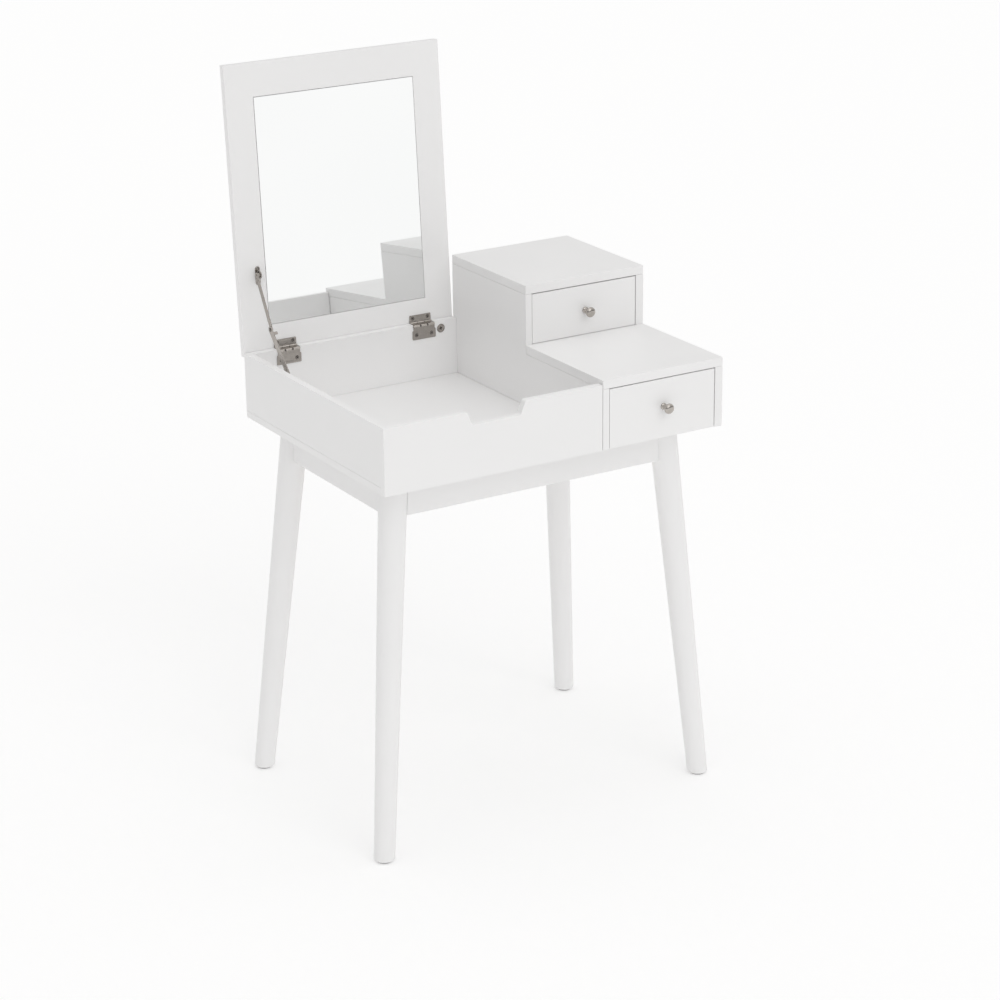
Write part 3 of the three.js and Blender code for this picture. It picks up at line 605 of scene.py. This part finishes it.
def hinge(side):
    low, high = HINGES[side]
    x0, x1 = low.x, high.x
    middle, third = (x0 + x1) / 2, (x1 - x0) / 3
    inner0, inner1 = x0 + third, x1 - third
    y, z = HINGE_AXIS.y, HINGE_AXIS.z
    gap = SLIP
    clear = BARREL + 0.3 * MM

    bm = bmesh.new()
    back = LID_FACE - gap
    leaf = shouldered(x0, x1, inner0 + gap, inner1 - gap, -UPPER_LEAF_HEIGHT, -clear, 0, 1.2 * MM)
    leaf = [(2 * middle - u, -v) for u, v in leaf]
    prism(bm, leaf, LID @ shift(0, back, 0) @ FACING_FRONT, LEAF)
    upper = add_object(f"{side}_hinge_lid_leaf", bm, HARDWARE, "lid")
    sink_holes(upper, middle, back - LEAF, LID_SCREW_UP, LID)
    soften(upper, 0.2 * MM)
    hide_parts(f"{side}_hinge_upper_leaf")
    bm = bmesh.new()
    # the lid knuckle gets the brighter nickel: painted highlight
    barrel_piece(bm, inner0 + gap, inner1 - gap, 0, 0, BARREL, LID)
    add_object(f"{side}_hinge_lid_knuckle", bm, PAINTED_HIGHLIGHT_KNUCKLE_METAL, "lid")

    lower_low, lower_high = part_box(f"{side}_hinge_lower_leaf")
    face = BACK_FACE - gap
    top = z - 0.4 * MM
    foot = lower_low.z
    neck_foot = foot + 16 * MM
    bm = bmesh.new()
    plate = shouldered(lower_low.x, lower_high.x, x0, x1, foot, neck_foot, top - LEAF, 1.5 * MM)
    prism(bm, plate, shift(0, face, 0) @ FACING_FRONT, LEAF)
    lower = add_object(f"{side}_hinge_back_leaf", bm, HARDWARE, "carcass")
    screw_z = sum(v.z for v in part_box(f"{side}_hinge_back_screw_outer")) / 2
    sink_holes(lower, middle, face - LEAF, screw_z, Matrix.Identity(4))
    soften(lower, 0.2 * MM)
    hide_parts(f"{side}_hinge_lower_leaf")

    bm = bmesh.new()
    front, rear, edge = face + 0.02 * MM, y - clear, y - 0.4 * MM
    strap = [(x0, front), (x1, front), (x1, edge), (inner1 + gap, edge), (inner1 + gap, rear),
             (inner0 - gap, rear), (inner0 - gap, edge), (x0, edge)]
    prism(bm, strap, shift(0, 0, top - LEAF), LEAF)
    strap_object = add_object(f"{side}_hinge_strap", bm, HARDWARE, "carcass")
    soften(strap_object, 0.15 * MM)

    bm = bmesh.new()
    slot = 1.4 * MM
    bead_y = face - LEAF - BEAD_PROUD + BEAD
    # bead and knuckles in the brighter nickel: painted highlight along them
    for a, b in ((x0, inner0 - slot), (inner0 + slot, inner1 - slot), (inner1 + slot, x1)):
        barrel_piece(bm, a, b, bead_y, top - BEAD, BEAD)
    for a, b in ((x0, inner0 - gap), (inner1 + gap, x1)):
        barrel_piece(bm, a, b, y, z, BARREL)
    add_object(f"{side}_hinge_knuckles", bm, PAINTED_HIGHLIGHT_KNUCKLE_METAL, "carcass")

    bm = bmesh.new()
    # both pins are near-black metal: painted shade seen through the knuckle gaps and the bead's slots
    for pin, at_y, at_z in ((1.1 * MM, y, z), (BEAD - 0.5 * MM, bead_y, top - BEAD)):
        barrel_piece(bm, x0 + 0.3 * MM, x1 - 0.3 * MM, at_y, at_z, pin)
    rod = add_object(f"{side}_hinge_rod_painted_shade", bm, PAINTED_SHADE_PIN_METAL, "carcass")
    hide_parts(f"{side}_hinge_pin")


# ---- folding stay --------------------------------------------------------------------------------
def arm_outline(length, radius, steps=10):
    """A flat bar's outline from one pivot at 0 to the other at length, with round ends."""
    points = []
    for pivot, start in ((0, 90), (length, -90)):
        for k in range(steps + 1):
            a = math.radians(start + 180 * k / steps)
            points.append((pivot + radius * math.cos(a), radius * math.sin(a)))
    return points


def stay_arm(name, node, start, end, body, radius, catch=False):
    """A flat arm between two pivots, the second one at end, with a catch tab beside it if asked."""
    low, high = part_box(node)
    along = end - start
    length = math.hypot(along.y, along.z)
    turn = Matrix.Rotation(math.atan2(along.z, along.y), 4, "Z")
    place = shift(low.x, start.y, start.z) @ FACING_RIGHT @ turn
    bm = bmesh.new()
    prism(bm, arm_outline(length, radius), place, STAY_SHEET)
    if catch:
        near, far = length - 8 * MM, length - 13 * MM
        inner, outer = radius - 0.3 * MM, radius + STAY_SHEET
        prism(bm, [(far, inner), (near, inner), (near, outer), (far, outer)], place, high.x - low.x)
    piece = add_object(name, bm, STAY_METAL, body)
    soften(piece, 0.25 * MM)
    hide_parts(node)


def stay_elbow():
    low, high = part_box("stay_elbow_rivet")
    length = high.x - low.x
    head = 3.2 * MM
    left = [(0, 0), (RIVET_RADIUS, 0), (head, 0.6 * MM), (head, MM), (RIVET_RADIUS, MM)]
    right = [(radius, length - x) for radius, x in reversed(left)]
    bm = bmesh.new()
    lathe(bm, left + right, shift(low.x, STAY_ELBOW.y, STAY_ELBOW.z) @ FACING_RIGHT)
    pin = add_object("stay_elbow_pin", bm, SCREW_METAL, "stay_upper")
    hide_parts("stay_elbow_rivet")


def stay_side_plate():
    low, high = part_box("stay_side_bracket")
    y, z = (low.y + high.y) / 2, (low.z + high.z) / 2
    reach = high.x - low.x - STAY_SHEET
    collar = [(0, 0), (LUG_RADIUS, 0), (LUG_RADIUS, 0.8 * MM)]
    pillar = [(4.5 * MM, 2 * MM), (4.5 * MM, reach), (0, reach)]
    bm = bmesh.new()
    prism(bm, rounded(low.y, high.y, low.z, high.z, 4 * MM), shift(low.x, 0, 0) @ FACING_RIGHT, STAY_SHEET)
    lathe(bm, collar + pillar, shift(low.x + STAY_SHEET - 0.01 * MM, y, z) @ FACING_RIGHT)
    bracket = add_object("stay_side_plate", bm, HARDWARE, "carcass")
    soften(bracket, 0.25 * MM)
    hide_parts("stay_side_bracket")


def stay_side_screws(screw):
    low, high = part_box("stay_side_bracket")
    y, z = (low.y + high.y) / 2, (low.z + high.z) / 2
    for name, sign in (("front", -1), ("rear", 1)):
        place = shift(low.x + STAY_SHEET, y + sign * STAY_SCREW_SPREAD, z) @ FACING_RIGHT
        put_screw(f"stay_side_screw_{name}", screw, place, 20 * sign, "carcass")


def stay_lid_plate(screw):
    """A plate screwed to the lid, a round lug standing off it, and a stepped boss through the upper arm."""
    boss_left, plate_right = (edge.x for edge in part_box("stay_lid_bracket"))
    lug = plate_right - 7 * MM
    plate_left = lug - 2 * MM
    face = LID_FACE - 0.1 * MM
    _, pivot_y, pivot_up = LID.inverted() @ STAY_LID
    foot, top = pivot_up - 19 * MM, pivot_up + 12 * MM
    bm = bmesh.new()
    plate = rounded(plate_left, plate_right, foot, top, 4 * MM)
    prism(bm, plate, LID @ shift(0, face, 0) @ FACING_FRONT, LEAF)

    web_back = face - 0.5 * MM
    web_low, web_high = pivot_up - 6 * MM, pivot_up + 6 * MM
    web = [(pivot_y, web_low), (web_back, web_low), (web_back, web_high), (pivot_y, web_high)]
    prism(bm, web, LID @ shift(lug, 0, 0) @ FACING_RIGHT, LUG_SHEET)
    disc = [(0, 0), (LUG_RADIUS, 0), (LUG_RADIUS, LUG_SHEET), (0, LUG_SHEET)]
    lathe(bm, disc, LID @ shift(lug, pivot_y, pivot_up) @ FACING_RIGHT, 40)

    wide = 3.6 * MM
    end = lug - boss_left + 0.5 * MM
    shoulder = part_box("stay_upper_arm")[1].x + 0.3 * MM - boss_left
    boss = [(0, 0), (RIVET_RADIUS, 0), (RIVET_RADIUS, shoulder), (wide, shoulder), (wide, end), (0, end)]
    lathe(bm, boss, LID @ shift(boss_left, pivot_y, pivot_up) @ FACING_RIGHT)
    bracket = add_object("stay_lid_plate", bm, HARDWARE, "lid")
    soften(bracket, 0.25 * MM)
    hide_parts("stay_lid_bracket")
    for name, rise, turn in (("upper", 8 * MM, 41), ("lower", -15 * MM, -5)):
        place = LID @ shift(lug + 2.5 * MM, face - LEAF, pivot_up + rise) @ FACING_FRONT
        put_screw(f"stay_lid_screw_{name}", screw, place, turn, "lid")


def stay():
    side_low, side_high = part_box("stay_side_bracket")
    side_pivot = (side_low + side_high) / 2
    stay_arm("stay_upper_bar", "stay_upper_arm", STAY_ELBOW, STAY_LID, "stay_upper", ARM_RADIUS["upper"])
    stay_arm("stay_lower_bar", "stay_lower_arm", side_pivot, STAY_ELBOW, "stay_lower", ARM_RADIUS["lower"],
             catch=True)
    stay_elbow()
    stay_side_plate()
    screw = screw_mesh(3.4 * MM, 1.1 * MM, 1.6 * MM, 8 * MM)
    stay_lid_plate(screw)
    stay_side_screws(screw)


# ---- knobs ---------------------------------------------------------------------------------------
def knob(drawer):
    node = f"{drawer}_drawer_knob"
    low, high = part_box(node)
    length = high.y - low.y
    head = (high.x - low.x) / 2
    centre = Vector(((low.x + high.x) / 2, high.y, (low.z + high.z) / 2))
    rose, stem = 5.5 * MM, 3.0 * MM
    foot = [(0, 0), (rose - 0.3 * MM, 0), (rose, 0.3 * MM), (rose, 1.3 * MM), (rose - 0.4 * MM, 1.7 * MM),
            (rose - 1.4 * MM, 2.0 * MM), (stem + 0.5 * MM, 2.8 * MM), (stem, 4.4 * MM)]
    neck = [(stem, length - 11 * MM), (stem + 0.25 * MM, length - 9.6 * MM)]
    neck.append((stem + 1.2 * MM, length - 8.5 * MM))
    under = [(head * 0.66, length - 8 * MM), (head * 0.9, length - 7 * MM), (head * 0.985, length - 5.8 * MM)]
    crown_start = length - 4.9 * MM
    crown = []
    for k in range(13):
        a = math.radians(90 * k / 12)
        crown.append((head * math.cos(a) ** 0.8, crown_start + (length - crown_start) * math.sin(a)))
    crown[-1] = (0, length)
    bm = bmesh.new()
    lathe(bm, foot + neck + under + crown, Matrix.Translation(centre) @ FACING_FRONT, 64)
    piece = add_object(f"{drawer}_drawer_mushroom_knob", bm, KNOB_METAL, f"{drawer}_drawer", 45)
    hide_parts(node)


# ---- assembly ------------------------------------------------------------------------------------
add_camera()
studio()
floor()
carry_over()
for fore in ("front", "back"):
    for side in ("left", "right"):
        leg(fore, side)
for side in HINGES:
    hinge(side)
hinge_screws()
cam_lock()
stay()
for drawer in ("upper", "lower"):
    knob(drawer)
